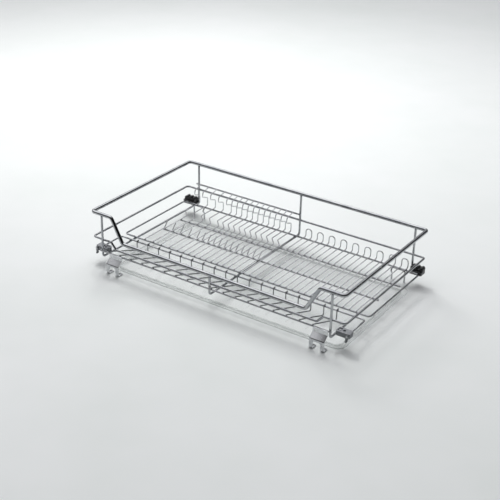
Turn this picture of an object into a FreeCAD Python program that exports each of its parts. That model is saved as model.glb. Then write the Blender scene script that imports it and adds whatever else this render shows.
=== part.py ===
import FreeCAD, Part
import math
import os

from FreeCAD import Vector

# Pull-out dish basket for an 800 mm base cabinet, with the drip tray that lies under it.
# Millimetres. X runs along the width, Y from the front to the back, Z up.
# The origin is on the surface that the basket stands on, at the middle of the outline
# seen from above.

# ---- overall sizes -------------------------------------------------------------------
basket_width = 765.0        # between the centre lines of the top rail's ends
basket_depth = 430.0        # between the centre lines of its front and back
top_height = 153.0          # centre line of the top rail above the surface
gap = 0.05                  # left between pieces that are welded or clipped together

# ---- wire sizes ----------------------------------------------------------------------
rail_wire = 10.0
frame_wire = 6.0
bar_wire = 5.0
thin_wire = 3.0

half_width = basket_width / 2
bracket_reach = 24.1        # how far the panel brackets stand out in front of the rail
front_y = (bracket_reach - basket_depth - rail_wire / 2) / 2
back_y = front_y + basket_depth

# ---- rails ---------------------------------------------------------------------------
rail_corner = 9.0
dip_bend = 12.0
dip_height = 86.0           # the low front stretch of the top rail
dip_top_x = 317.0           # where the top rail starts to drop
dip_bottom_x = 280.5        # where it levels out
middle_half_width = 386.5   # it passes outside the top rail at the sides
middle_height = 76.5
middle_inset = frame_wire + gap
middle_dip_height = 58.0
middle_dip_top_x = 326.0
middle_dip_bottom_x = 309.0
middle_dip_bend = 7.0
bottom_bar_height = 49.5
bottom_bar_y = front_y - frame_wire / 2 - bar_wire / 2 - gap

# ---- U-shaped frame wires under the floor --------------------------------------------
frame_x = 350.0
frame_bottom = 29.4
frame_bend = 9.0

# ---- floor ---------------------------------------------------------------------------
bar_height = frame_bottom + frame_wire / 2 + bar_wire / 2 + gap
floor_height = bar_height + bar_wire / 2 + thin_wire / 2 + gap
rear_loop_half_width = 384.0
rear_loop_back = front_y + 404.5
rear_loop_front = front_y + 133.5
plate_bar_y = front_y + 294.0
bowl_bar_y = front_y + 315.0
front_cross_y = front_y + 219.0
front_loop_y = front_y + 114.0
wire_front_end = rear_loop_front - 4.5
front_frame_grip = 14.0     # length of the front floor frame's ends inside the couplers
loop_corner = 9.0

# ---- plate dividers ------------------------------------------------------------------
divider_count = 16
wide_gaps = 4               # the first gaps are for deep plates
wide_pitch = 28.2
narrow_pitch = 18.5
first_divider_x = -335.0
divider_jog = 21.6          # how far each divider steps to the right on its way forward
top_bar_height = 92.5
top_bar_y = back_y - frame_wire / 2 - bar_wire / 2 - gap
nose_length = 39.0           # from the back wires to the divider's nose
nose_height = 88.0
nose_bend = 5.0
jog_start_y = front_y + 345.0
jog_end_y = front_y + 319.0
jog_bend = 10.0
tooth_lean = 16.0
tooth_rise = 17.0

# ---- bowl arches ---------------------------------------------------------------------
arch_count = 9
arch_pitch = 2 * narrow_pitch
first_arch_x = 40.5
arch_y = rear_loop_back + 8.5
arch_top = 63.0

# ---- front trough --------------------------------------------------------------------
trough_count = 18
first_trough_x = -323.5
trough_pitch = 37.0
trough_bottom = 11.0
trough_over_bar = 5.1       # rise of the wire's end above the middle of the front bar
trough_hook = 4.0           # length of the hook over the front floor frame
trough_back_y = front_loop_y - bar_wire / 2 - thin_wire / 2 - gap

# ---- panel brackets ------------------------------------------------------------------
bracket_width = 41.0
bracket_sheet = 2.0
bracket_top = 51.5
left_bracket_x = -298.5     # middle of the bracket
right_bracket_x = 328.0
bracket_step = 14.0         # how far the lower half stands in front of the upper half
toe_length = 16.0
toe_width = 10.0
panel_hole = 4.5
panel_hole_spacing = 25.0
panel_hole_z = 43.4

# ---- runner couplers -----------------------------------------------------------------
coupler_inner = frame_x + frame_wire / 2 + gap
coupler_corner = 4.0
rear_coupler_reach = 389.0  # outer face
rear_coupler_front = rear_loop_back - 1.0
rear_coupler_depth = 28.0
rear_coupler_bottom = 30.5
rear_coupler_height = 15.0
rear_tongue_depth = 6.0     # the low front part that holds the floor frame
rear_tongue_height = 9.5
grip_count = 3
grip_radius = 5.5
grip_sink = 1.5             # how far the grip bars' centres lie below the block's top
grip_setback = 2.5
socket_diameter = 7.0
socket_depth = 12.0
rear_socket_x = 364.0
rear_socket_z = 41.6
rear_screw_x = 371.0
front_coupler_reach = 391.5
front_coupler_y = front_y + 30.0
front_coupler_depth = 22.0
front_coupler_bottom = 30.5
front_coupler_height = 12.5
pin_well = 8.0              # the runner's locating pin enters here from below
pin_well_x = 372.0
front_screw_x = 360.5
ledge_inset = 2.5           # the hollow around the front screw
ledge_length = 10.0
ledge_margin = 4.0
ledge_depth = 3.0
screw_shank = 3.4
screw_length = 6.0
screw_head = 6.4
screw_head_height = 2.4
screw_slot = 0.9            # width of the cross recess
screw_slot_depth = 1.25

# ---- release levers ------------------------------------------------------------------
lever_x = 386.0
lever_z = 37.0
lever_eye = 9.0
lever_tip = 6.0
lever_tip_offset = 1.2
lever_length = 12.5
lever_sheet = 2.4
lever_lip = 5.0
lever_pin = 3.0
lever_bore_fit = 0.06
lever_clearance = 0.4
pin_depth = 8.0
pin_head_height = 1.4

# ---- rear legs -----------------------------------------------------------------------
leg_wire = 4.0
leg_inner_x = 308.0
leg_outer_x = 344.9
leg_shoulder = 20.0         # where the inner leg starts to lean forward
leg_knee = 27.0
leg_lean = 8.0
leg_y = rear_loop_back - bar_wire / 2 - leg_wire / 2 - gap

# ---- drip tray -----------------------------------------------------------------------
tray_width = 712.0
tray_depth = 366.0
tray_height = 8.4
tray_sheet = 1.6
tray_flange = 14.0
tray_corner = 24.0
tray_x = 27.0               # the loose tray lies this far to the right of the middle
tray_y = front_y - 2.0 + tray_depth / 2
tray_rib_pitch = 58.0
tray_rib_pairs = 5
tray_rib_width = 3.0
tray_rib_height = 0.8
tray_rib_inset = 30.0

# ---- ends of the bars ----------------------------------------------------------------
bar_end = frame_x + frame_wire / 2 + 1.0
plate_bar_start = -315.0
cross_bar_start = -319.0
bowl_bar_start = 8.0
bowl_bar_end = 374.0
cross_bar_end = 363.0

os.makedirs("parts", exist_ok=True)


def save(name, *solids):
    shape = solids[0] if len(solids) == 1 else Part.makeCompound(list(solids))
    shape.exportStep(os.path.join("parts", name + ".step"))


def roundedPath(points, radii):
    """Straight runs joined by tangent arcs, one radius for each inner point."""
    edges = []
    start = points[0]
    for i in range(1, len(points) - 1):
        corner = points[i]
        into = (corner - points[i - 1]).normalize()
        out = (points[i + 1] - corner).normalize()
        turn = into.getAngle(out)
        reach = radii[i - 1] * math.tan(turn / 2)
        first = corner - into * reach
        last = corner + out * reach
        inward = (out - into).normalize()
        middle = corner + inward * (radii[i - 1] / math.cos(turn / 2) - radii[i - 1])
        if start.distanceToPoint(first) > 1e-6:
            edges.append(Part.LineSegment(start, first).toShape())
        edges.append(Part.Arc(first, middle, last).toShape())
        start = last
    if start.distanceToPoint(points[-1]) > 1e-6:
        edges.append(Part.LineSegment(start, points[-1]).toShape())
    return Part.Wire(edges)


def bentWire(points, diameter, bend):
    """A round wire along the points; bend is one radius or a list of them."""
    points = [Vector(*p) for p in points]
    radii = bend if isinstance(bend, list) else [bend] * (len(points) - 2)
    path = roundedPath(points, radii)
    start = points[0]
    circle = Part.Circle(start, points[1] - points[0], diameter / 2)
    section = Part.Wire([circle.toShape()])
    return path.makePipeShell([section], True, False)


def closedWire(points, diameter, bend):
    """A closed loop of round wire, butt welded in the middle of its first run."""
    middle = [(a + b) / 2 for a, b in zip(points[0], points[1])]
    other = [(a + b) / 2 for a, b in zip(points[len(points) // 2], points[len(points) // 2 + 1])]
    half = len(points) // 2
    first = [middle] + points[1:half + 1] + [other]
    second = [other] + points[half + 1:] + [points[0]] + [middle]
    radii = bend if isinstance(bend, list) else [bend] * len(points)
    one = bentWire(first, diameter, radii[1:half + 1])
    two = bentWire(second, diameter, radii[half + 1:] + [radii[0]])
    return one.fuse(two).removeSplitter().Solids[0]


def straightWire(start, end, diameter):
    start = Vector(*start)
    along = Vector(*end) - start
    return Part.makeCylinder(diameter / 2, along.Length, start, along)


def box(x0, x1, y0, y1, z0, z1):
    return Part.makeBox(x1 - x0, y1 - y0, z1 - z0, Vector(x0, y0, z0))


def roundEdges(solid, radius, chosen):
    edges = [edge for edge in solid.Edges if chosen(edge)]
    return solid.makeFillet(radius, edges)


def isAlong(edge, axis):
    along = edge.Vertexes[-1].Point - edge.Vertexes[0].Point
    return along.Length > 1e-6 and abs(getattr(along, axis)) > 0.99 * along.Length


def isUpright(edge):
    return isAlong(edge, "z")


def dippedLoop(height, low, topX, bottomX, x, inset):
    """Corner points of a rail that drops along the front for access."""
    front = front_y + inset
    back = back_y - inset
    return [
        (x, back, height), (-x, back, height), (-x, front, height),
        (-topX, front, height), (-bottomX, front, low),
        (bottomX, front, low), (topX, front, height), (x, front, height),
    ]


def makeTopRail():
    points = dippedLoop(top_height, dip_height, dip_top_x, dip_bottom_x, half_width, 0.0)
    bends = [rail_corner] * 3 + [dip_bend] * 4 + [rail_corner]
    return closedWire(points, rail_wire, bends)


def makeMiddleRail():
    points = dippedLoop(middle_height, middle_dip_height, middle_dip_top_x,
                        middle_dip_bottom_x, middle_half_width, middle_inset)
    bends = [rail_corner] * 3 + [middle_dip_bend] * 4 + [rail_corner]
    return closedWire(points, frame_wire, bends)


def makeFrameWire(x, frontTop, extra=0.0):
    """Back post, bottom bar and front post in one wire."""
    backTop = top_height - rail_wire / 2 - gap
    points = [(x, back_y, backTop), (x, back_y, frame_bottom),
              (x, front_y, frame_bottom), (x, front_y, frontTop)]
    return bentWire(points, frame_wire + extra, frame_bend)


def makeRearFloorFrame(extra=0.0):
    x = rear_loop_half_width
    points = [(x, rear_loop_back, bar_height), (-x, rear_loop_back, bar_height),
              (-x, rear_loop_front, bar_height), (x, rear_loop_front, bar_height)]
    return closedWire(points, bar_wire + extra, loop_corner)


def makeFrontFloorFrame(extra=0.0):
    end = front_coupler_y + front_coupler_depth / 2 - front_frame_grip
    points = [(-half_width, end, bar_height), (-half_width, front_loop_y, bar_height),
              (half_width, front_loop_y, bar_height), (half_width, end, bar_height)]
    return bentWire(points, bar_wire + extra, loop_corner)


def dividerPositions():
    xs = [first_divider_x + i * wide_pitch for i in range(wide_gaps + 1)]
    while len(xs) < divider_count:
        xs.append(xs[-1] + narrow_pitch)
    return xs


def makeDivider(x):
    """From the plate top bar, over a nose, down to the floor, then a sideways step."""
    stepX = x + divider_jog + thin_wire / 2 + gap
    points = [
        (x, top_bar_y - bar_wire / 2 - thin_wire / 2 - gap, top_bar_height + 3.5),
        (x, back_y - nose_length, nose_height),
        (x, back_y - nose_length - 3.0, nose_height - 14.0),
        (x, arch_y + 1.0, nose_height - 24.0),
        (x, arch_y + 1.0, floor_height),
        (x, jog_start_y, floor_height),
        (stepX, jog_end_y, floor_height),
        (stepX, front_cross_y - bar_wire, floor_height),
    ]
    return bentWire(points, thin_wire, [nose_bend] * 4 + [jog_bend] * 2)


def makePlateFloorWire(x):
    """Front half of the plate floor; its rear end is bent up as a divider tooth."""
    toothX = x + divider_jog - thin_wire / 2 - gap
    points = [
        (toothX, wire_front_end, floor_height),
        (toothX, front_cross_y, floor_height),
        (toothX, front_cross_y + tooth_lean, floor_height + tooth_rise),
    ]
    return bentWire(points, thin_wire, nose_bend)


def makeBowlHairpin(x):
    """Two floor wires made of one length, bent up into an arch behind the back bar."""
    left = x - narrow_pitch / 2
    right = x + narrow_pitch / 2
    arcRadius = narrow_pitch / 2
    shoulder = arch_top - arcRadius
    tail = Vector(left, wire_front_end, floor_height)
    points = [Vector(left, wire_front_end, floor_height), Vector(left, arch_y, floor_height),
              Vector(left, arch_y, shoulder)]
    rise = roundedPath(points, [nose_bend])
    crown = Part.Arc(Vector(left, arch_y, shoulder), Vector(x, arch_y, arch_top),
                     Vector(right, arch_y, shoulder)).toShape()
    points = [Vector(right, arch_y, shoulder), Vector(right, arch_y, floor_height),
              Vector(right, wire_front_end, floor_height)]
    fall = roundedPath(points, [nose_bend])
    path = Part.Wire(rise.Edges + [crown] + fall.Edges)
    section = Part.Wire([Part.Circle(tail, Vector(0, 1, 0), thin_wire / 2).toShape()])
    return path.makePipeShell([section], True, False)


def makeTroughWire(x):
    """Hooked over the front floor frame, down into the trough and up to the front bar."""
    frontZ = bottom_bar_height + trough_over_bar
    points = [
        (x, front_loop_y + trough_hook, floor_height),
        (x, trough_back_y, floor_height),
        (x, trough_back_y, trough_bottom),
        (x, bottom_bar_y - 2.0, frontZ),
    ]
    return bentWire(points, thin_wire, [2.2, 4.0])


def makeRearLeg(side):
    """An upside-down U of wire under the back of the floor."""
    points = [
        (side * leg_inner_x, leg_y, 0.0),
        (side * leg_inner_x, leg_y, leg_shoulder),
        (side * leg_inner_x, leg_y - leg_lean, leg_knee),
        (side * leg_inner_x, leg_y, bar_height),
        (side * leg_outer_x, leg_y, bar_height),
        (side * leg_outer_x, leg_y, 0.0),
    ]
    return bentWire(points, leg_wire, [3.0, 3.0, 4.0, 5.0])


def makePanelBracket(x):
    """Folded sheet: flat top, forward step, two legs with toes folded back."""
    back = bottom_bar_y - bar_wire / 2 - gap
    front = back - bracket_step
    profile = [(back, bracket_top), (back, bracket_top - 13.0), (front, bracket_top - 25.5),
               (front, bracket_sheet), (front + toe_length, bracket_sheet)]
    points = [Vector(x - bracket_width / 2, y, z) for y, z in profile]
    strip = roundedPath(points, [3.0, 3.0, 1.0]).makeOffset2D(bracket_sheet, fill=True,
                                                              openResult=True)
    sheet = strip.extrude(Vector(bracket_width, 0, 0))
    notchHalf = bracket_width / 2 - toe_width
    notchTop = bracket_top - 29.5
    notch = box(x - notchHalf, x + notchHalf, front - 5, front + toe_length + 5, -5, notchTop)
    notch = roundEdges(notch, 6.0, lambda edge: isAlong(edge, "y") and edge.CenterOfMass.z > 0)
    sheet = sheet.cut(notch)
    for side in (-1, 1):
        hole = Part.makeCylinder(panel_hole / 2, 10.0,
                                 Vector(x + side * panel_hole_spacing / 2, back + 2, panel_hole_z),
                                 Vector(0, -1, 0))
        sheet = sheet.cut(hole)
    return sheet.Solids[0]


def makeRearCoupler(side):
    """Black clip on the rear corner of the floor frame, with a socket for the runner hook."""
    x0 = coupler_inner
    x1 = rear_coupler_reach
    y0 = rear_coupler_front
    y1 = y0 + rear_coupler_depth
    z0 = rear_coupler_bottom
    top = z0 + rear_coupler_height
    blockFront = y0 + rear_tongue_depth
    body = roundedSlab(x0, x1, blockFront, y1, z0, top, coupler_corner)
    tongue = roundedSlab(x0, x1, y0, y1 - coupler_corner, z0, z0 + rear_tongue_height,
                         coupler_corner)
    body = body.fuse(tongue)
    pitch = (x1 - x0 - 2 * grip_radius) / (grip_count - 1)
    for i in range(grip_count):
        at = Vector(x0 + grip_radius + i * pitch, blockFront + grip_setback, top - grip_sink)
        length = y1 - blockFront - 2 * grip_setback
        body = body.fuse(Part.makeCylinder(grip_radius, length, at, Vector(0, 1, 0)))
    socket = Part.makeCylinder(socket_diameter / 2, socket_depth,
                               Vector(rear_socket_x, y1, rear_socket_z), Vector(0, -1, 0))
    body = body.cut(socket)
    body = body.cut(screwHole(rear_screw_x, rear_screw_y, rear_screw_seat))
    return finishCoupler(body, side)


def makeFrontCoupler(side):
    """Grey clip on the end of the front floor frame, with a well for the runner's pin."""
    x0 = coupler_inner
    y0 = front_coupler_y - front_coupler_depth / 2
    y1 = front_coupler_y + front_coupler_depth / 2
    z0 = front_coupler_bottom
    z1 = z0 + front_coupler_height
    body = roundedSlab(x0, front_coupler_reach, y0, y1, z0, z1, coupler_corner)
    well = Part.makeCylinder(pin_well / 2, z1 - z0 + 2, Vector(pin_well_x, front_coupler_y, z0 - 1))
    body = body.cut(well)
    ledgeX = x0 + ledge_inset
    ledge = roundedSlab(ledgeX, ledgeX + ledge_length, y0 + ledge_margin, y1 - ledge_margin,
                        front_screw_seat, z1 + 1, ledge_margin / 2)
    body = body.cut(ledge)
    body = body.cut(screwHole(front_screw_x, front_coupler_y, front_screw_seat))
    pinHole = Part.makeCylinder(lever_pin / 2 + gap, pin_depth + gap,
                                Vector(lever_x, y0 - 1, lever_z), Vector(0, 1, 0))
    body = body.cut(pinHole)
    return finishCoupler(body, side)


def screwHole(x, y, top):
    return Part.makeCylinder(screw_shank / 2 + gap, screw_length + 1, Vector(x, y, top + 1),
                             Vector(0, 0, -1))


def finishCoupler(body, side):
    """Cut the grooves for the wires that the clip holds, and mirror it for the left."""
    groove = 2 * gap
    for wire in (makeRearFloorFrame(groove), makeFrontFloorFrame(groove)):
        body = body.cut(wire)
    body = body.Solids[0]
    return body if side > 0 else body.mirror(Vector(0, 0, 0), Vector(1, 0, 0))


def makeScrew(x, y, top):
    """Pan head screw with a cross recess."""
    head = Part.makeCylinder(screw_head / 2, screw_head_height, Vector(x, y, top + gap))
    head = roundEdges(head, 0.9, lambda edge: edge.CenterOfMass.z > top + 1.0
                      and isinstance(edge.Curve, Part.Circle))
    shank = Part.makeCylinder(screw_shank / 2, screw_length, Vector(x, y, top + gap),
                              Vector(0, 0, -1))
    screw = head.fuse(shank)
    reach = screw_head * 0.3
    half = screw_slot / 2
    floor = top + gap + screw_head_height - screw_slot_depth
    for dx, dy in ((reach, half), (half, reach)):
        screw = screw.cut(box(x - dx, x + dx, y - dy, y + dy, floor, floor + screw_head_height))
    return screw.Solids[0]


def makeLever(side):
    """Release lever that swings on a pin in front of the coupler."""
    y = front_coupler_y - front_coupler_depth / 2 - lever_clearance
    eye = Part.makeCylinder(lever_eye / 2, lever_sheet, Vector(lever_x, y, lever_z),
                            Vector(0, -1, 0))
    tipX = lever_x - lever_tip_offset
    tip = Part.makeCylinder(lever_tip / 2, lever_sheet, Vector(tipX, y, lever_z - lever_length),
                            Vector(0, -1, 0))
    corners = [
        Vector(lever_x - lever_eye / 2, y, lever_z), Vector(lever_x + lever_eye / 2, y, lever_z),
        Vector(tipX + lever_tip / 2, y, lever_z - lever_length),
        Vector(tipX - lever_tip / 2, y, lever_z - lever_length),
    ]
    arm = Part.Face(Part.makePolygon(corners + corners[:1])).extrude(Vector(0, -lever_sheet, 0))
    lip = Part.makeCylinder(lever_tip / 2, lever_lip, Vector(tipX, y, lever_z - lever_length),
                            Vector(0, -1, 0))
    lever = eye.fuse(tip).fuse(arm).fuse(lip).removeSplitter()
    bore = Part.makeCylinder(lever_pin / 2 + lever_bore_fit, 20.0, Vector(lever_x, y + 5, lever_z),
                             Vector(0, -1, 0))
    lever = lever.cut(bore).Solids[0]
    return lever if side > 0 else lever.mirror(Vector(0, 0, 0), Vector(1, 0, 0))


def makeLeverPin(side):
    """Headed pin pressed into the coupler; the lever turns on it."""
    face = front_coupler_y - front_coupler_depth / 2
    outer = face - lever_clearance - lever_sheet - lever_clearance
    shank = Part.makeCylinder(lever_pin / 2, pin_depth - 1.5 + (face - outer),
                              Vector(side * lever_x, outer, lever_z), Vector(0, 1, 0))
    head = Part.makeCylinder(lever_pin, pin_head_height, Vector(side * lever_x, outer, lever_z),
                             Vector(0, -1, 0))
    return head.fuse(shank).removeSplitter().Solids[0]


def roundedSlab(x0, x1, y0, y1, z0, z1, radius):
    return roundEdges(box(x0, x1, y0, y1, z0, z1), radius, isUpright)


def makeDripTray():
    """Shallow tray of clear plastic with a flat flange and a rolled lip."""
    x0 = tray_x - tray_width / 2
    x1 = tray_x + tray_width / 2
    y0 = tray_y - tray_depth / 2
    y1 = tray_y + tray_depth / 2
    f = tray_flange
    t = tray_sheet
    flange = roundedSlab(x0, x1, y0, y1, tray_height - t, tray_height, tray_corner)
    lip = roundedSlab(x0, x1, y0, y1, tray_height - 2 * t, tray_height, tray_corner)
    lip = lip.cut(roundedSlab(x0 + t, x1 - t, y0 + t, y1 - t, 0, tray_height, tray_corner - t))
    pan = roundedSlab(x0 + f, x1 - f, y0 + f, y1 - f, 0, tray_height, tray_corner - f / 2)
    hollow = roundedSlab(x0 + f + t, x1 - f - t, y0 + f + t, y1 - f - t, t, tray_height + t,
                         tray_corner - f / 2 - t)
    tray = flange.fuse(lip).fuse(pan).cut(hollow)
    ribs = [tray_x + i * tray_rib_pitch for i in range(-tray_rib_pairs, tray_rib_pairs + 1)]
    for x in ribs:
        half = tray_rib_width / 2
        inset = f + tray_rib_inset
        rib = box(x - half, x + half, y0 + inset, y1 - inset, t / 2, t + tray_rib_height)
        tray = tray.fuse(rib)
    return tray.removeSplitter().Solids[0]


highFront = top_height - rail_wire / 2 - gap
lowFront = dip_height - rail_wire / 2 - gap
rear_screw_y = rear_coupler_front + (rear_tongue_depth + rear_coupler_depth) / 2
rear_screw_seat = rear_coupler_bottom + rear_coupler_height + grip_radius - grip_sink
front_screw_seat = front_coupler_bottom + front_coupler_height - ledge_depth
sides = {"left": -1, "right": 1}

save("top_rail", makeTopRail())
save("middle_rail", makeMiddleRail())
save("left_frame_wire", makeFrameWire(-frame_x, highFront))
save("centre_frame_wire", makeFrameWire(0.0, lowFront))
save("right_frame_wire", makeFrameWire(frame_x, highFront))
save("rear_floor_frame", makeRearFloorFrame())
save("front_floor_frame", makeFrontFloorFrame())
save("front_bottom_bar", straightWire((-bar_end, bottom_bar_y, bottom_bar_height),
                                      (bar_end, bottom_bar_y, bottom_bar_height), bar_wire))
save("plate_top_bar", straightWire((-bar_end, top_bar_y, top_bar_height),
                                   (frame_wire / 2 + 1.0, top_bar_y, top_bar_height), bar_wire))
save("plate_middle_bar", straightWire((plate_bar_start, plate_bar_y, bar_height),
                                      (frame_wire, plate_bar_y, bar_height), bar_wire))
save("bowl_middle_bar", straightWire((bowl_bar_start, bowl_bar_y, bar_height),
                                     (bowl_bar_end, bowl_bar_y, bar_height), bar_wire))
save("floor_cross_bar", straightWire((cross_bar_start, front_cross_y, bar_height),
                                     (cross_bar_end, front_cross_y, bar_height), bar_wire))
save("plate_divider_wires", *[makeDivider(x) for x in dividerPositions()])
save("plate_floor_wires", *[makePlateFloorWire(x) for x in dividerPositions()])
save("bowl_hairpins", *[makeBowlHairpin(first_arch_x + i * arch_pitch) for i in range(arch_count)])
edgeX = first_arch_x - narrow_pitch * 1.5
save("bowl_edge_wire", straightWire((edgeX, wire_front_end, floor_height),
                                    (edgeX, rear_loop_back + 4.0, floor_height), thin_wire))
save("trough_wires", *[makeTroughWire(first_trough_x + i * trough_pitch)
                       for i in range(trough_count)])
save("left_panel_bracket", makePanelBracket(left_bracket_x))
save("right_panel_bracket", makePanelBracket(right_bracket_x))
screws = []
for name, side in sides.items():
    save("rear_" + name + "_leg", makeRearLeg(side))
    save("rear_" + name + "_coupler", makeRearCoupler(side))
    save("front_" + name + "_coupler", makeFrontCoupler(side))
    save("front_" + name + "_release_lever", makeLever(side))
    save("front_" + name + "_lever_pin", makeLeverPin(side))
    screws.append(makeScrew(side * rear_screw_x, rear_screw_y, rear_screw_seat))
    screws.append(makeScrew(side * front_screw_x, front_coupler_y, front_screw_seat))
save("coupler_screws", *screws)
save("drip_tray", makeDripTray())
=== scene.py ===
import bpy
import bmesh
import math
from mathutils import Matrix, Vector


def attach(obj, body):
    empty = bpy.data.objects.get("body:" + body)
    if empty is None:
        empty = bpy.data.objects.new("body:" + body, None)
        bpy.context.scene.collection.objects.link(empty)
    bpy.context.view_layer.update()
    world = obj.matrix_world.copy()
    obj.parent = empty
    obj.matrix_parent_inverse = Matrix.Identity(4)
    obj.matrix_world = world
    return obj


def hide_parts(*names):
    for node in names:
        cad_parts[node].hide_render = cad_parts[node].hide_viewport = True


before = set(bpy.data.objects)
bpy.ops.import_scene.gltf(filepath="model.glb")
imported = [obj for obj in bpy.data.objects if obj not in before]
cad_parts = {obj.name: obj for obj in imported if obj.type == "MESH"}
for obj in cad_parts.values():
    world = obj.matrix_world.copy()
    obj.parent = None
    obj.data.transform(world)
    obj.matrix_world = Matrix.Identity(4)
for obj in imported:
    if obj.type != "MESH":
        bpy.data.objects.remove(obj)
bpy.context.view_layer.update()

print("frame loaded:", len(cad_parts), "pieces")

scene = bpy.context.scene
basketBody = "basket"

cameraSetup = {
    "lens": 78.16,
    "place": (1.3887, -2.1387, 1.3719),
    "turn": (63.248, -1.404, 33.998),
    "shift": (-0.001, -0.011),
    "sensor": 36.0,
    "farClip": 60.0,
}

cameraData = bpy.data.cameras.new("camera")
cameraData.lens = cameraSetup["lens"]
cameraData.sensor_width = cameraSetup["sensor"]
cameraData.shift_x, cameraData.shift_y = cameraSetup["shift"]
cameraData.clip_end = cameraSetup["farClip"]
camera = bpy.data.objects.new("camera", cameraData)
camera.location = cameraSetup["place"]
camera.rotation_euler = [math.radians(a) for a in cameraSetup["turn"]]
scene.collection.objects.link(camera)
scene.camera = camera
print("camera placed")


# small helpers for node trees

def addNode(tree, kind, place, **values):
    node = tree.nodes.new(kind)
    node.location = place
    for name, value in values.items():
        if hasattr(node, name):
            setattr(node, name, value)
        else:
            node.inputs[name.replace("_", " ")].default_value = value
    return node


def newGroup(name, inputs, outputs):
    tree = bpy.data.node_groups.new(name, "ShaderNodeTree")
    for label, kind, start in inputs:
        socket = tree.interface.new_socket(name=label, in_out="INPUT", socket_type=kind)
        socket.default_value = start
    for label, kind in outputs:
        tree.interface.new_socket(name=label, in_out="OUTPUT", socket_type=kind)
    groupIn = addNode(tree, "NodeGroupInput", (-900, 0))
    groupOut = addNode(tree, "NodeGroupOutput", (500, 0))
    return tree, groupIn, groupOut


def useGroup(tree, group, place, **values):
    node = tree.nodes.new("ShaderNodeGroup")
    node.node_tree = group
    node.location = place
    for name, value in values.items():
        node.inputs[name.replace("_", " ")].default_value = value
    return node


def newMaterial(name):
    material = bpy.data.materials.new(name)
    material.use_nodes = True
    tree = material.node_tree
    tree.nodes.clear()
    output = addNode(tree, "ShaderNodeOutputMaterial", (600, 0))
    shader = addNode(tree, "ShaderNodeBsdfPrincipled", (300, 0))
    tree.links.new(shader.outputs["BSDF"], output.inputs["Surface"])
    coords = addNode(tree, "ShaderNodeTexCoord", (-1200, 0))
    return material, tree, shader, coords.outputs["Object"]


# cloudy tone: a broad noise that shades a colour and a roughness a little over the piece
cloudyTone, toneIn, toneOut = newGroup(
    "cloudyTone",
    [("Vector", "NodeSocketVector", (0, 0, 0)), ("Scale", "NodeSocketFloat", 20.0),
     ("Light", "NodeSocketColor", (0.8, 0.8, 0.8, 1)),
     ("Dark", "NodeSocketColor", (0.6, 0.6, 0.6, 1)),
     ("Smooth", "NodeSocketFloat", 0.1), ("Rough", "NodeSocketFloat", 0.2)],
    [("Color", "NodeSocketColor"), ("Roughness", "NodeSocketFloat")])
broadNoise = addNode(cloudyTone, "ShaderNodeTexNoise", (-600, 200), Detail=4.0, Roughness=0.6)
toneMix = addNode(cloudyTone, "ShaderNodeMix", (0, 200), data_type="RGBA")
toneRange = addNode(cloudyTone, "ShaderNodeMapRange", (-300, 200))
toneBand = (0.35, 0.65)   # the part of the noise that is spread over both tones
toneRange.inputs["From Min"].default_value = toneBand[0]
toneRange.inputs["From Max"].default_value = toneBand[1]
roughMix = addNode(cloudyTone, "ShaderNodeMix", (0, -100), data_type="FLOAT")
link = cloudyTone.links.new
link(toneIn.outputs["Vector"], broadNoise.inputs["Vector"])
link(toneIn.outputs["Scale"], broadNoise.inputs["Scale"])
link(broadNoise.outputs["Fac"], toneRange.inputs["Value"])
link(toneRange.outputs["Result"], toneMix.inputs["Factor"])
link(toneIn.outputs["Light"], toneMix.inputs["A"])
link(toneIn.outputs["Dark"], toneMix.inputs["B"])
link(toneRange.outputs["Result"], roughMix.inputs["Factor"])
link(toneIn.outputs["Smooth"], roughMix.inputs["A"])
link(toneIn.outputs["Rough"], roughMix.inputs["B"])
link(toneMix.outputs["Result"], toneOut.inputs["Color"])
link(roughMix.outputs["Result"], toneOut.inputs["Roughness"])

# water spots: small dried drops, as a mask from 0 to 1
waterSpots, spotIn, spotOut = newGroup(
    "waterSpots",
    [("Vector", "NodeSocketVector", (0, 0, 0)), ("Scale", "NodeSocketFloat", 180.0),
     ("Share", "NodeSocketFloat", 0.35)],
    [("Mask", "NodeSocketFloat")])
spotCells = addNode(waterSpots, "ShaderNodeTexVoronoi", (-600, 100))
spotRing = addNode(waterSpots, "ShaderNodeMapRange", (-350, 100), interpolation_type="SMOOTHSTEP")
spotEdge = (0.42, 0.30)   # where a spot starts and where it is full, from its middle
spotRing.inputs["From Min"].default_value = spotEdge[0]
spotRing.inputs["From Max"].default_value = spotEdge[1]
spotPick = addNode(waterSpots, "ShaderNodeSeparateColor", (-350, -150))
spotFew = addNode(waterSpots, "ShaderNodeMath", (-150, -150), operation="LESS_THAN")
spotMask = addNode(waterSpots, "ShaderNodeMath", (100, 0), operation="MULTIPLY")
link = waterSpots.links.new
link(spotIn.outputs["Vector"], spotCells.inputs["Vector"])
link(spotIn.outputs["Scale"], spotCells.inputs["Scale"])
link(spotCells.outputs["Distance"], spotRing.inputs["Value"])
link(spotCells.outputs["Color"], spotPick.inputs["Color"])
link(spotPick.outputs["Red"], spotFew.inputs[0])
link(spotIn.outputs["Share"], spotFew.inputs[1])
link(spotRing.outputs["Result"], spotMask.inputs[0])
link(spotFew.outputs["Value"], spotMask.inputs[1])
link(spotMask.outputs["Value"], spotOut.inputs["Mask"])

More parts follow.
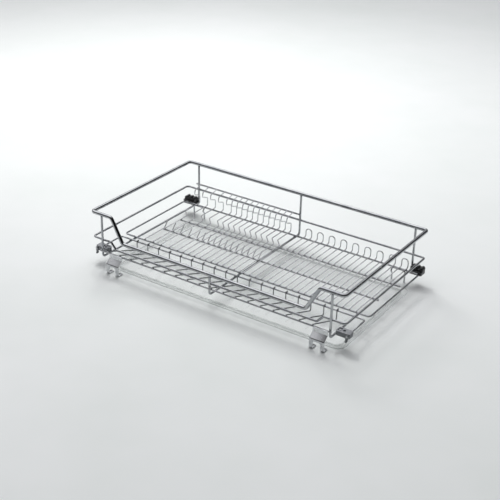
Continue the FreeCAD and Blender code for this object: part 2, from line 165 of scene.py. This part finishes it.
# edge wear: how sharp the surface turns here, broken up by noise
edgeWear, wearIn, wearOut = newGroup(
    "edgeWear",
    [("Vector", "NodeSocketVector", (0, 0, 0)), ("Amount", "NodeSocketFloat", 0.5)],
    [("Mask", "NodeSocketFloat")])
wearGeometry = addNode(edgeWear, "ShaderNodeNewGeometry", (-700, 200))
wearNoise = addNode(edgeWear, "ShaderNodeTexNoise", (-700, -100), Scale=260.0, Detail=5.0)
wearSum = addNode(edgeWear, "ShaderNodeMath", (-450, 100), operation="MULTIPLY_ADD")
wearLook = {"noiseShare": 0.35, "from": 0.70, "full": 0.82}
wearSum.inputs[1].default_value = wearLook["noiseShare"]
wearRange = addNode(edgeWear, "ShaderNodeMapRange", (-200, 100), interpolation_type="SMOOTHSTEP")
wearRange.inputs["From Min"].default_value = wearLook["from"]
wearRange.inputs["From Max"].default_value = wearLook["full"]
wearScaled = addNode(edgeWear, "ShaderNodeMath", (100, 100), operation="MULTIPLY")
link = edgeWear.links.new
link(wearIn.outputs["Vector"], wearNoise.inputs["Vector"])
link(wearNoise.outputs["Fac"], wearSum.inputs[0])
link(wearGeometry.outputs["Pointiness"], wearSum.inputs[2])
link(wearSum.outputs["Value"], wearRange.inputs["Value"])
link(wearRange.outputs["Result"], wearScaled.inputs[0])
link(wearIn.outputs["Amount"], wearScaled.inputs[1])
link(wearScaled.outputs["Value"], wearOut.inputs["Mask"])


# every plated finish has the same few water spots and a fine grain
plating = {"spotScale": 190.0, "spotShare": 0.16, "grainDetail": 6.0, "grainDepth": 0.0003}

chromeLook = {
    "light": (0.47, 0.48, 0.49, 1),
    "dark": (0.32, 0.33, 0.35, 1),
    "smooth": 0.04,
    "rough": 0.12,
    "spotRoughness": 0.32,
    "bump": 0.05,
    "toneScale": 24.0,
    "grainScale": 900.0,
}


def platedMetal(name, look):
    material, tree, shader, coords = newMaterial(name)
    link = tree.links.new
    tone = useGroup(tree, cloudyTone, (-600, 200), Scale=look["toneScale"], Light=look["light"],
                    Dark=look["dark"], Smooth=look["smooth"], Rough=look["rough"])
    spots = useGroup(tree, waterSpots, (-600, -100), Scale=plating["spotScale"],
                     Share=plating["spotShare"])
    rough = addNode(tree, "ShaderNodeMix", (-200, 0), data_type="FLOAT")
    rough.inputs["B"].default_value = look["spotRoughness"]
    grain = addNode(tree, "ShaderNodeTexNoise", (-600, -400), Scale=look["grainScale"],
                    Detail=plating["grainDetail"])
    bump = addNode(tree, "ShaderNodeBump", (0, -300), Strength=look["bump"],
                   Distance=plating["grainDepth"])
    link(coords, tone.inputs["Vector"])
    link(coords, spots.inputs["Vector"])
    link(coords, grain.inputs["Vector"])
    link(tone.outputs["Color"], shader.inputs["Base Color"])
    link(tone.outputs["Roughness"], rough.inputs["A"])
    link(spots.outputs["Mask"], rough.inputs["Factor"])
    link(rough.outputs["Result"], shader.inputs["Roughness"])
    link(grain.outputs["Fac"], bump.inputs["Height"])
    link(bump.outputs["Normal"], shader.inputs["Normal"])
    shader.inputs["Metallic"].default_value = 1.0
    return material


chromeWire = platedMetal("chromeWire", chromeLook)

# painted light: the thin floor wires get a lighter copy of the chrome, standing in for the light
# they catch
thinWireLightLook = {
    "light": (0.72, 0.73, 0.74, 1),
    "dark": (0.57, 0.58, 0.60, 1),
    "smooth": 0.07,
    "rough": 0.15,
    "spotRoughness": 0.34,
    "bump": 0.05,
    "toneScale": 30.0,
    "grainScale": 1100.0,
}
paintedLightWire = platedMetal("paintedLightWire", thinWireLightLook)

# painted shade: the trough wires get a darker copy of the chrome, standing in for the shade they
# lie in
troughShadeLook = {
    "light": (0.27, 0.28, 0.29, 1),
    "dark": (0.17, 0.18, 0.19, 1),
    "smooth": 0.06,
    "rough": 0.18,
    "spotRoughness": 0.36,
    "bump": 0.06,
    "toneScale": 30.0,
    "grainScale": 1100.0,
}
paintedShadeWire = platedMetal("paintedShadeWire", troughShadeLook)

sheetLook = {
    "light": (0.66, 0.67, 0.68, 1),
    "dark": (0.54, 0.55, 0.57, 1),
    "smooth": 0.10,
    "rough": 0.20,
    "spotRoughness": 0.38,
    "bump": 0.10,
    "toneScale": 60.0,
    "grainScale": 1400.0,
}
platedSheet = platedMetal("platedSheet", sheetLook)

screwLook = {
    "light": (0.60, 0.61, 0.62, 1),
    "dark": (0.42, 0.43, 0.45, 1),
    "smooth": 0.24,
    "rough": 0.40,
    "spotRoughness": 0.45,
    "bump": 0.20,
    "toneScale": 300.0,
    "grainScale": 2200.0,
}
screwSteel = platedMetal("screwSteel", screwLook)

# painted shade: the weld collars are dark, standing in for the contact shadow where the wires
# cross
weldShadeLook = {
    "light": (0.20, 0.20, 0.21, 1),
    "dark": (0.10, 0.10, 0.11, 1),
    "smooth": 0.22,
    "rough": 0.45,
    "spotRoughness": 0.50,
    "bump": 0.35,
    "toneScale": 400.0,
    "grainScale": 2600.0,
}
weldShadeSpot = platedMetal("weldShadeSpot", weldShadeLook)


def mouldedPlastic(name, look):
    material, tree, shader, coords = newMaterial(name)
    link = tree.links.new
    tone = useGroup(tree, cloudyTone, (-700, 300), Scale=look["toneScale"], Light=look["light"],
                    Dark=look["dark"], Smooth=look["smooth"], Rough=look["rough"])
    wear = useGroup(tree, edgeWear, (-700, 0), Amount=look["wear"])
    worn = addNode(tree, "ShaderNodeMix", (-300, 250), data_type="RGBA")
    worn.inputs["B"].default_value = look["wornColour"]
    texture = addNode(tree, "ShaderNodeTexVoronoi", (-700, -250), Scale=look["textureScale"])
    bump = addNode(tree, "ShaderNodeBump", (-100, -250), Strength=look["bump"],
                   Distance=look["textureDepth"])
    link(coords, tone.inputs["Vector"])
    link(coords, wear.inputs["Vector"])
    link(coords, texture.inputs["Vector"])
    link(tone.outputs["Color"], worn.inputs["A"])
    link(wear.outputs["Mask"], worn.inputs["Factor"])
    link(worn.outputs["Result"], shader.inputs["Base Color"])
    link(tone.outputs["Roughness"], shader.inputs["Roughness"])
    link(texture.outputs["Distance"], bump.inputs["Height"])
    link(bump.outputs["Normal"], shader.inputs["Normal"])
    shader.inputs["Specular IOR Level"].default_value = look["specular"]
    return material


blackLook = {
    "light": (0.020, 0.020, 0.022, 1),
    "dark": (0.010, 0.010, 0.012, 1),
    "smooth": 0.30,
    "rough": 0.46,
    "wear": 0.35,
    "wornColour": (0.09, 0.09, 0.095, 1),
    "toneScale": 90.0,
    "textureScale": 1800.0,
    "textureDepth": 0.0002,
    "bump": 0.18,
    "specular": 0.5,
}
blackPlastic = mouldedPlastic("blackPlastic", blackLook)

greyLook = {
    "light": (0.30, 0.31, 0.33, 1),
    "dark": (0.23, 0.24, 0.26, 1),
    "smooth": 0.30,
    "rough": 0.44,
    "wear": 0.30,
    "wornColour": (0.46, 0.47, 0.49, 1),
    "toneScale": 90.0,
    "textureScale": 1800.0,
    "textureDepth": 0.0002,
    "bump": 0.15,
    "specular": 0.5,
}
greyPlastic = mouldedPlastic("greyPlastic", greyLook)

trayLook = {
    "colour": (0.80, 0.84, 0.82, 1),
    "deepColour": (0.62, 0.68, 0.66, 1),
    "clear": 0.012,   # how much the flat sheet hides
    "edge": 0.30,     # how much its walls and rim hide, seen along the sheet
    "flat": 0.98,     # the upright part of a normal on the flat sheet
    "wall": 0.30,     # and on a wall
    "smooth": 0.06,
    "rough": 0.14,
    "toneScale": 9.0,
    "spotScale": 60.0,
    "spotShare": 0.12,
    "spotRoughness": 0.35,
    "spotHiding": 0.03,
    "rippleScale": 14.0,
    "rippleDetail": 2.0,
    "ripple": 0.10,
    "rippleDepth": 0.001,
    "bending": 1.49,
}


def clearTrayPlastic(look):
    material, tree, shader, coords = newMaterial("clearTrayPlastic")
    link = tree.links.new
    tone = useGroup(tree, cloudyTone, (-700, 300), Scale=look["toneScale"], Light=look["colour"],
                    Dark=look["deepColour"], Smooth=look["smooth"], Rough=look["rough"])
    geometry = addNode(tree, "ShaderNodeNewGeometry", (-1100, -100))
    tilt = addNode(tree, "ShaderNodeSeparateXYZ", (-900, -100))
    upright = addNode(tree, "ShaderNodeMath", (-700, -100), operation="ABSOLUTE")
    hiding = addNode(tree, "ShaderNodeMapRange", (-500, -100), interpolation_type="SMOOTHSTEP")
    hiding.inputs["From Min"].default_value = look["flat"]
    hiding.inputs["From Max"].default_value = look["wall"]
    hiding.inputs["To Min"].default_value = look["clear"]
    hiding.inputs["To Max"].default_value = look["edge"]
    spots = useGroup(tree, waterSpots, (-700, -300), Scale=look["spotScale"],
                     Share=look["spotShare"])
    rough = addNode(tree, "ShaderNodeMix", (-100, 150), data_type="FLOAT")
    rough.inputs["B"].default_value = look["spotRoughness"]
    spotted = addNode(tree, "ShaderNodeMath", (-100, -150), operation="MULTIPLY_ADD")
    spotted.inputs[1].default_value = look["spotHiding"]
    ripple = addNode(tree, "ShaderNodeTexNoise", (-700, -550), Scale=look["rippleScale"],
                     Detail=look["rippleDetail"])
    bump = addNode(tree, "ShaderNodeBump", (-100, -450), Strength=look["ripple"],
                   Distance=look["rippleDepth"])
    link(coords, tone.inputs["Vector"])
    link(coords, spots.inputs["Vector"])
    link(coords, ripple.inputs["Vector"])
    link(tone.outputs["Color"], shader.inputs["Base Color"])
    link(tone.outputs["Roughness"], rough.inputs["A"])
    link(spots.outputs["Mask"], rough.inputs["Factor"])
    link(rough.outputs["Result"], shader.inputs["Roughness"])
    link(geometry.outputs["True Normal"], tilt.inputs["Vector"])
    link(tilt.outputs["Z"], upright.inputs[0])
    link(upright.outputs["Value"], hiding.inputs["Value"])
    link(spots.outputs["Mask"], spotted.inputs[0])
    link(hiding.outputs["Result"], spotted.inputs[2])
    link(spotted.outputs["Value"], shader.inputs["Alpha"])
    link(ripple.outputs["Fac"], bump.inputs["Height"])
    link(bump.outputs["Normal"], shader.inputs["Normal"])
    shader.inputs["IOR"].default_value = look["bending"]
    return material


clearTray = clearTrayPlastic(trayLook)
print("materials made")


# bent wire: a ring is drawn out along straight runs and spun round each bend

wireMaking = {
    "bendStep": 15,        # degrees of a bend for each step of the spin
    "fewestSteps": 2,
    "seam": 0.05,          # how near a closed wire's ends are merged, as a share of thickness
    "endRounding": 0.14,   # how far a cut end is rounded, as a share of thickness
}


def ringEdges(geometry):
    return [g for g in geometry if isinstance(g, bmesh.types.BMEdge)]


def ringVerts(geometry):
    return [g for g in geometry if isinstance(g, bmesh.types.BMVert)]


def drawOut(bm, ring, step):
    made = bmesh.ops.extrude_edge_only(bm, edges=ring)["geom"]
    verts = ringVerts(made)
    bmesh.ops.translate(bm, verts=verts, vec=step)
    ends = set(verts)
    return [e for e in ringEdges(made) if all(v in ends for v in e.verts)]


def sweepWire(bm, route, bends, thickness, sides=12, closed=False):
    points = [Vector(p) for p in route]
    if closed:
        points = [(points[0] + points[-1]) / 2] + points + [(points[0] + points[-1]) / 2]
    if not isinstance(bends, (list, tuple)):
        bends = [bends] * (len(points) - 2)
    along = (points[1] - points[0]).normalized()
    place = Matrix.Translation(points[0]) @ along.to_track_quat("Z", "Y").to_matrix().to_4x4()
    circle = bmesh.ops.create_circle(bm, segments=sides, radius=thickness / 2, matrix=place)
    ring = list({e for v in circle["verts"] for e in v.link_edges})
    start = ring
    here = points[0]
    for i in range(1, len(points) - 1):
        corner = points[i]
        nextAlong = (points[i + 1] - corner).normalized()
        turn = along.angle(nextAlong)
        reach = bends[i - 1] * math.tan(turn / 2)
        ring = drawOut(bm, ring, corner - along * reach - here)
        axis = along.cross(nextAlong).normalized()
        centre = corner - along * reach + axis.cross(along) * bends[i - 1]
        steps = max(wireMaking["fewestSteps"], round(math.degrees(turn) / wireMaking["bendStep"]))
        ringCorners = list({v for e in ring for v in e.verts})
        last = bmesh.ops.spin(bm, geom=ring + ringCorners, cent=centre, axis=axis, angle=turn,
                              steps=steps, use_merge=False, use_duplicate=False,
                              dvec=(0, 0, 0))["geom_last"]
        ring = ringEdges(last)
        here = corner + nextAlong * reach
        along = nextAlong
    ring = drawOut(bm, ring, points[-1] - here)
    if closed:
        seam = list({v for e in ring + start for v in e.verts})
        bmesh.ops.remove_doubles(bm, verts=seam, dist=thickness * wireMaking["seam"])
        return []
    caps = []
    for loop in (start, ring):
        bmesh.ops.contextual_create(bm, geom=loop)
        caps += loop
    return caps


def roundEnds(bm, caps, size):
    if caps:
        bmesh.ops.bevel(bm, geom=caps, offset=size, offset_type="OFFSET", affect="EDGES",
                        segments=2, profile=0.5, material=-1)


def finishPiece(bm, name, material, body, replaced, sharp=40):
    bmesh.ops.recalc_face_normals(bm, faces=bm.faces[:])
    for face in bm.faces:
        face.smooth = True
    for edge in bm.edges:
        if len(edge.link_faces) == 2 and edge.calc_face_angle(0) > math.radians(sharp):
            edge.smooth = False
    mesh = bpy.data.meshes.new(name)
    bm.to_mesh(mesh)
    bm.free()
    mesh.materials.append(material)
    piece = bpy.data.objects.new(name, mesh)
    scene.collection.objects.link(piece)
    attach(piece, body)
    if replaced:
        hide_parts(*replaced)
    return piece


def wirePiece(name, wires, thickness, replaced, sides=12, closed=False,
              material=chromeWire):
    bm = bmesh.new()
    caps = []
    for route, bends in wires:
        caps += sweepWire(bm, route, bends, thickness, sides, closed)
    roundEnds(bm, caps, thickness * wireMaking["endRounding"])
    return finishPiece(bm, name, material, basketBody, replaced)


# the basket's main lines, in metres
basket = {
    "front": -0.20545,
    "back": 0.22455,
    "railWire": 0.010,
    "frameWire": 0.006,
    "barWire": 0.005,
    "thinWire": 0.003,
    "barHeight": 0.03495,
    "floorHeight": 0.0390,
}
frontY = basket["front"]
backY = basket["back"]
barZ = basket["barHeight"]
floorZ = basket["floorHeight"]
frameWire = basket["frameWire"]
barWire = basket["barWire"]
thinWire = basket["thinWire"]

topRail = {"halfWidth": 0.3825, "height": 0.153, "low": 0.086, "dropStart": 0.317,
           "dropEnd": 0.2805, "inset": 0.0, "corner": 0.009, "bend": 0.012}
middleRail = {"halfWidth": 0.3865, "height": 0.0765, "low": 0.058, "dropStart": 0.326,
              "dropEnd": 0.309, "inset": 0.00605, "corner": 0.009, "bend": 0.007}


def railRoute(rail):
    x = rail["halfWidth"]
    near = frontY + rail["inset"]
    far = backY - rail["inset"]
    high = rail["height"]
    low = rail["low"]
    route = [(-x, far, high), (-x, near, high), (-rail["dropStart"], near, high),
             (-rail["dropEnd"], near, low), (rail["dropEnd"], near, low),
             (rail["dropStart"], near, high), (x, near, high), (x, far, high)]
    bends = [rail["corner"]] * 2 + [rail["bend"]] * 4 + [rail["corner"]] * 2
    return route, bends


wirePiece("topRail", [railRoute(topRail)], basket["railWire"], ["top_rail"], 24, True)
wirePiece("middleRail", [railRoute(middleRail)], frameWire, ["middle_rail"], 20, True)
print("rails made")

frameSetup = {"x": 0.350, "bottom": 0.0294, "bend": 0.009, "top": 0.14795,
              "centreFrontTop": 0.08095}


def frameRoute(x, frontTop):
    return [(x, backY, frameSetup["top"]), (x, backY, frameSetup["bottom"]),
            (x, frontY, frameSetup["bottom"]), (x, frontY, frontTop)]


for side, x, frontTop in (("left", -frameSetup["x"], frameSetup["top"]),
                          ("centre", 0.0, frameSetup["centreFrontTop"]),
                          ("right", frameSetup["x"], frameSetup["top"])):
    wirePiece(side + "FrameWire", [(frameRoute(x, frontTop), frameSetup["bend"])], frameWire,
              [side + "_frame_wire"], 18)

floorLoops = {"halfWidth": 0.384, "back": 0.19905, "front": -0.07195, "corner": 0.009,
              "troughHalfWidth": 0.3825, "troughBack": -0.09145, "troughEnd": -0.17845}
loopX = floorLoops["halfWidth"]
troughLoopX = floorLoops["troughHalfWidth"]
loopBack = floorLoops["back"]
loopFront = floorLoops["front"]
troughBack = floorLoops["troughBack"]
wirePiece("rearFloorFrame",
          [([(-loopX, loopBack, barZ), (-loopX, loopFront, barZ), (loopX, loopFront, barZ),
             (loopX, loopBack, barZ)], floorLoops["corner"])],
          barWire, ["rear_floor_frame"], 16, True)
wirePiece("frontFloorFrame",
          [([(-troughLoopX, floorLoops["troughEnd"], barZ), (-troughLoopX, troughBack, barZ),
             (troughLoopX, troughBack, barZ), (troughLoopX, floorLoops["troughEnd"], barZ)],
            floorLoops["corner"])],
          barWire, ["front_floor_frame"], 16)

bars = {
    "frontBottomBar": (-0.354, 0.354, -0.2110, 0.0495, "front_bottom_bar"),
    "plateTopBar": (-0.354, 0.004, 0.2190, 0.0925, "plate_top_bar"),
    "plateMiddleBar": (-0.315, 0.006, 0.08855, barZ, "plate_middle_bar"),
    "bowlMiddleBar": (0.008, 0.374, 0.10955, barZ, "bowl_middle_bar"),
    "floorCrossBar": (-0.319, 0.363, 0.01355, barZ, "floor_cross_bar"),
}
for name, (left, right, y, z, node) in bars.items():
    wirePiece(name, [([(left, y, z), (right, y, z)], 0.0)], barWire, [node], 16)
print("frame and bars made")

plates = {
    "firstX": -0.335,
    "widePitch": 0.0282,
    "wideGaps": 4,
    "narrowPitch": 0.0185,
    "count": 16,
    "jog": 0.0216,
    "topY": 0.21495,
    "topZ": 0.0960,
    "postY": 0.20855,
    "wireFront": -0.07645,
    "crossY": 0.01355,
    "beside": 0.00155,      # half the distance between two wires welded side by side
    "shoulder": (0.18555, 0.088),   # y and z of the bends below the top end
    "hollow": (0.18255, 0.074),
    "postTop": 0.064,
    "jogFrom": 0.13955,
    "jogTo": 0.11355,
    "tail": 0.005,          # how far a divider runs past the cross bar
    "tooth": (0.016, 0.017),   # how far a tooth leans back and rises
    "bends": [0.005, 0.005, 0.005, 0.005, 0.010, 0.010],
    "toothBend": 0.005,
}
dividerX = [plates["firstX"] + i * plates["widePitch"] for i in range(plates["wideGaps"] + 1)]
while len(dividerX) < plates["count"]:
    dividerX.append(dividerX[-1] + plates["narrowPitch"])


def dividerRoute(x):
    side = x + plates["jog"] + plates["beside"]
    return [(x, plates["topY"], plates["topZ"]), (x, *plates["shoulder"]),
            (x, *plates["hollow"]), (x, plates["postY"], plates["postTop"]),
            (x, plates["postY"], floorZ), (x, plates["jogFrom"], floorZ),
            (side, plates["jogTo"], floorZ), (side, plates["crossY"] - plates["tail"], floorZ)]


def toothRoute(x):
    side = x + plates["jog"] - plates["beside"]
    lean, rise = plates["tooth"]
    return [(side, plates["wireFront"], floorZ), (side, plates["crossY"], floorZ),
            (side, plates["crossY"] + lean, floorZ + rise)]


# the divider, floor, arch and edge wires take the lighter chrome with painted light
wirePiece("plateDividers", [(dividerRoute(x), plates["bends"]) for x in dividerX], thinWire,
          ["plate_divider_wires"], material=paintedLightWire)
wirePiece("plateFloorWires", [(toothRoute(x), plates["toothBend"]) for x in dividerX], thinWire,
          ["plate_floor_wires"], material=paintedLightWire)

bowls = {
    "count": 9,
    "firstX": 0.0405,
    "pitch": 0.037,
    "wireGap": 0.0185,
    "archY": 0.20755,
    "archTop": 0.063,
    "front": -0.07645,
    "footBend": 0.005,
    "archRoom": 0.00001,    # leaves a hair of straight wire between an arch's two bends
    "edgeX": 0.01275,
    "edgeTail": 0.004,
}


def hairpinRoute(x):
    left = x - bowls["wireGap"] / 2
    right = x + bowls["wireGap"] / 2
    y = bowls["archY"]
    top = bowls["archTop"]
    return [(left, bowls["front"], floorZ), (left, y, floorZ), (left, y, top), (right, y, top),
            (right, y, floorZ), (right, bowls["front"], floorZ)]


archX = [bowls["firstX"] + i * bowls["pitch"] for i in range(bowls["count"])]
archBend = bowls["wireGap"] / 2 - bowls["archRoom"]
hairpinBends = [bowls["footBend"], archBend, archBend, bowls["footBend"]]
wirePiece("bowlArches", [(hairpinRoute(x), hairpinBends) for x in archX], thinWire,
          ["bowl_hairpins"], material=paintedLightWire)
edgeX = bowls["edgeX"]
edgeRoute = [(edgeX, bowls["front"], floorZ), (edgeX, loopBack + bowls["edgeTail"], floorZ)]
wirePiece("bowlEdgeWire", [(edgeRoute, 0)], thinWire, ["bowl_edge_wire"], material=paintedLightWire)

trough = {"count": 18, "firstX": -0.3235, "pitch": 0.037, "backY": -0.0955, "bottom": 0.011,
          "endY": -0.2130, "endZ": 0.0546, "tail": 0.004, "bends": [0.0022, 0.004]}


def troughRoute(x):
    return [(x, troughBack + trough["tail"], floorZ), (x, trough["backY"], floorZ),
            (x, trough["backY"], trough["bottom"]), (x, trough["endY"], trough["endZ"])]


troughX = [trough["firstX"] + i * trough["pitch"] for i in range(trough["count"])]
# the trough wires take the darker chrome with painted shade
wirePiece("troughWires", [(troughRoute(x), trough["bends"]) for x in troughX], thinWire,
          ["trough_wires"], material=paintedShadeWire)

legs = {"inner": 0.308, "outer": 0.3449, "y": 0.1945, "wire": 0.004, "ankle": 0.020,
        "knee": (0.008, 0.027), "bends": [0.003, 0.003, 0.004, 0.005]}
for side, label in ((-1, "left"), (1, "right")):
    inner = side * legs["inner"]
    outer = side * legs["outer"]
    y = legs["y"]
    kneeOut, kneeZ = legs["knee"]
    route = [(inner, y, 0.0), (inner, y, legs["ankle"]), (inner, y - kneeOut, kneeZ),
             (inner, y, barZ), (outer, y, barZ), (outer, y, 0.0)]
    wirePiece("rear" + label.capitalize() + "Leg", [(route, legs["bends"])], legs["wire"],
              ["rear_" + label + "_leg"], 14)
print("floor wires, trough and legs made")

# small melted collars where one wire crosses and is welded to another
thinWeld = {"long": 0.0026, "wide": 0.0021, "thick": 0.0011}
frameWeld = {"long": 0.0034, "wide": 0.0036, "thick": 0.0016}


def weldCollar(bm, at, weld):
    size = Matrix.Diagonal((weld["wide"], weld["long"], weld["thick"], 1))
    bmesh.ops.create_uvsphere(bm, u_segments=8, v_segments=4, radius=1,
                              matrix=Matrix.Translation(at) @ size)


crossY = plates["crossY"]
bowlBarY = bars["bowlMiddleBar"][2]
contactZ = barZ + barWire / 2
underZ = barZ - barWire / 2
crossings = []
for x in dividerX:
    side = x + plates["jog"] + plates["beside"]
    tooth = x + plates["jog"] - plates["beside"]
    crossings += [(x, loopBack, contactZ), (side, crossY, contactZ),
                  (side, bars["plateMiddleBar"][2], contactZ), (tooth, crossY, contactZ),
                  (tooth, loopFront, contactZ)]
for x in archX:
    for side in (-1, 1):
        wireX = x + side * bowls["wireGap"] / 2
        crossings += [(wireX, y, contactZ) for y in (loopBack, bowlBarY, crossY, loopFront)]
crossings += [(edgeX, y, contactZ) for y in (loopBack, bowlBarY, loopFront)]
crossings += [(x, troughBack, contactZ) for x in troughX]

# the cross bar starts to the right of the left frame wire, so that corner has no weld
frameCrossings = [(x, y, underZ) for x in (-frameSetup["x"], 0.0, frameSetup["x"])
                  for y in (loopBack, loopFront, troughBack, crossY)
                  if y != crossY or x > bars["floorCrossBar"][0]]
weldMesh = bmesh.new()
for at in crossings:
    weldCollar(weldMesh, at, thinWeld)
for at in frameCrossings:
    weldCollar(weldMesh, at, frameWeld)
# the collars carry the dark painted-shade finish
finishPiece(weldMesh, "weldCollars", weldShadeSpot, basketBody, [], 80)
print("weld collars made:", len(crossings) + len(frameCrossings))


# moulded and folded pieces: the frame's own shape with its edges softened
softening = {
    "merge": 0.00001,
    "flat": 1.5,      # degrees below which neighbouring triangles become one face
    "crisp": 35,      # degrees above which an edge is rounded
    "segments": 2,
    "bracket": 0.0008,
    "clip": 0.0006,
    "tray": 0.0004,
    "lever": 0.0003,
    "pin": 0.0002,
    "screw": 0.00015,
}


def softenNode(node, name, material, body, width):
    bm = bmesh.new()
    bm.from_mesh(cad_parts[node].data)
    bmesh.ops.remove_doubles(bm, verts=bm.verts[:], dist=softening["merge"])
    bmesh.ops.dissolve_limit(bm, angle_limit=math.radians(softening["flat"]),
                             verts=bm.verts[:], edges=bm.edges[:])
    leastTurn = math.radians(softening["crisp"])
    crisp = [e for e in bm.edges
             if len(e.link_faces) == 2 and e.calc_face_angle(0) > leastTurn]
    bmesh.ops.bevel(bm, geom=crisp, offset=width, offset_type="OFFSET", affect="EDGES",
                    segments=softening["segments"], profile=0.5, material=-1,
                    clamp_overlap=True)
    return finishPiece(bm, name, material, body, [node])


for side in ("left", "right"):
    label = side.capitalize()
    softenNode(side + "_panel_bracket", side + "PanelBracket", platedSheet,
               basketBody, softening["bracket"])
    softenNode("rear_" + side + "_coupler", "rear" + label + "Clip", blackPlastic,
               basketBody, softening["clip"])
    softenNode("front_" + side + "_coupler", "front" + label + "Clip", greyPlastic,
               basketBody, softening["clip"])
    softenNode("front_" + side + "_release_lever", "front" + label + "Lever", greyPlastic,
               "front_" + side + "_lever", softening["lever"])
    softenNode("front_" + side + "_lever_pin", "front" + label + "LeverPin", screwSteel,
               basketBody, softening["pin"])
softenNode("coupler_screws", "clipScrews", screwSteel, basketBody,
           softening["screw"])
softenNode("drip_tray", "dripTray", clearTray, "drip_tray", softening["tray"])
print("clips, brackets, levers and tray finished")


# floor and light
floorLook = {
    "size": 14.0,
    "height": -0.0006,   # just clear of the tray's flat bottom
    "light": (0.84, 0.86, 0.86, 1),
    "dark": (0.79, 0.82, 0.81, 1),
    "toneScale": 1.4,
    "smooth": 0.55,
    "rough": 0.7,
}
floorMesh = bmesh.new()
bmesh.ops.create_grid(floorMesh, x_segments=1, y_segments=1, size=floorLook["size"] / 2,
                      matrix=Matrix.Translation((0, 0, floorLook["height"])))
floorData = bpy.data.meshes.new("floor")
floorMesh.to_mesh(floorData)
floorMesh.free()
floorMaterial, floorTree, floorShader, floorCoords = newMaterial("paleFloor")
floorTone = useGroup(floorTree, cloudyTone, (-500, 0), Scale=floorLook["toneScale"],
                     Light=floorLook["light"], Dark=floorLook["dark"],
                     Smooth=floorLook["smooth"], Rough=floorLook["rough"])
floorTree.links.new(floorCoords, floorTone.inputs["Vector"])
floorTree.links.new(floorTone.outputs["Color"], floorShader.inputs["Base Color"])
floorTree.links.new(floorTone.outputs["Roughness"], floorShader.inputs["Roughness"])
floorData.materials.append(floorMaterial)
floor = bpy.data.objects.new("floor", floorData)
scene.collection.objects.link(floor)

# the key and top lamps light the floor and cast the shadow
# the panel is what the chrome mirrors
lights = {
    "key": {"place": (-1.5, 1.25, 1.95), "aim": (-0.1, 0, 0), "size": (0.8, 0.8), "power": 33.0,
            "colour": (1, 0.995, 0.98), "mirrored": False},
    "top": {"place": (-0.3, 1.6, 2.4), "aim": (0, 0.6, 0), "size": (1.2, 1.2), "power": 10.0,
            "colour": (0.97, 0.985, 1), "mirrored": False},
    "panel": {"place": (-1.4, 1.9, 2.6), "aim": (0, 0, 0), "size": (3.0, 0.9), "power": 9.0,
              "colour": (1, 1, 1), "mirrored": True},
}
for name, light in lights.items():
    lamp = bpy.data.lights.new(name, "AREA")
    lamp.shape = "RECTANGLE"
    lamp.size, lamp.size_y = light["size"]
    lamp.energy = light["power"]
    lamp.color = light["colour"]
    holder = bpy.data.objects.new(name, lamp)
    holder.location = light["place"]
    aim = Vector(light["aim"]) - Vector(light["place"])
    holder.rotation_euler = aim.to_track_quat("-Z", "Y").to_euler()
    holder.visible_glossy = light["mirrored"]
    scene.collection.objects.link(holder)

# the world is a dark room with one broad soft light overhead, a little to the left
worldLook = {
    "towards": (-0.45, 0.25, 0.86),
    "strength": 0.85,
    "backdrop": (0.80, 0.82, 0.82, 1),   # what is seen past the edge of the floor
    "blue": 1.02,
    "stops": [(0.0, 0.10), (0.50, 0.012), (0.66, 0.03), (0.80, 0.16), (0.91, 1.05), (1.0, 2.1)],
}
world = bpy.data.worlds.new("studio")
world.use_nodes = True
worldTree = world.node_tree
worldTree.nodes.clear()
worldOut = addNode(worldTree, "ShaderNodeOutputWorld", (600, 0))
worldLight = addNode(worldTree, "ShaderNodeBackground", (200, 0), Strength=worldLook["strength"])
worldCoords = addNode(worldTree, "ShaderNodeTexCoord", (-800, 0))
worldFacing = addNode(worldTree, "ShaderNodeVectorMath", (-600, 0), operation="DOT_PRODUCT")
worldFacing.inputs[1].default_value = worldLook["towards"]
worldRamp = addNode(worldTree, "ShaderNodeValToRGB", (-200, 0))
ramp = worldRamp.color_ramp
while len(ramp.elements) < len(worldLook["stops"]):
    ramp.elements.new(0.5)
for element, (place, level) in zip(ramp.elements, worldLook["stops"]):
    element.position = place
    element.color = (level, level, level * worldLook["blue"], 1)
worldRange = addNode(worldTree, "ShaderNodeMapRange", (-400, 0))
worldRange.inputs["From Min"].default_value = -1.0
worldTree.links.new(worldCoords.outputs["Generated"], worldFacing.inputs[0])
worldTree.links.new(worldFacing.outputs["Value"], worldRange.inputs["Value"])
worldTree.links.new(worldRange.outputs["Result"], worldRamp.inputs["Fac"])
worldTree.links.new(worldRamp.outputs["Color"], worldLight.inputs["Color"])
seenDirectly = addNode(worldTree, "ShaderNodeLightPath", (0, 300))
worldBackdrop = addNode(worldTree, "ShaderNodeBackground", (200, -200),
                        Color=worldLook["backdrop"])
worldMix = addNode(worldTree, "ShaderNodeMixShader", (400, 0))
worldTree.links.new(seenDirectly.outputs["Is Camera Ray"], worldMix.inputs["Fac"])
worldTree.links.new(worldLight.outputs["Background"], worldMix.inputs[1])
worldTree.links.new(worldBackdrop.outputs["Background"], worldMix.inputs[2])
worldTree.links.new(worldMix.outputs["Shader"], worldOut.inputs["Surface"])
scene.world = world
scene.view_settings.view_transform = "Standard"
print("floor and lights placed")
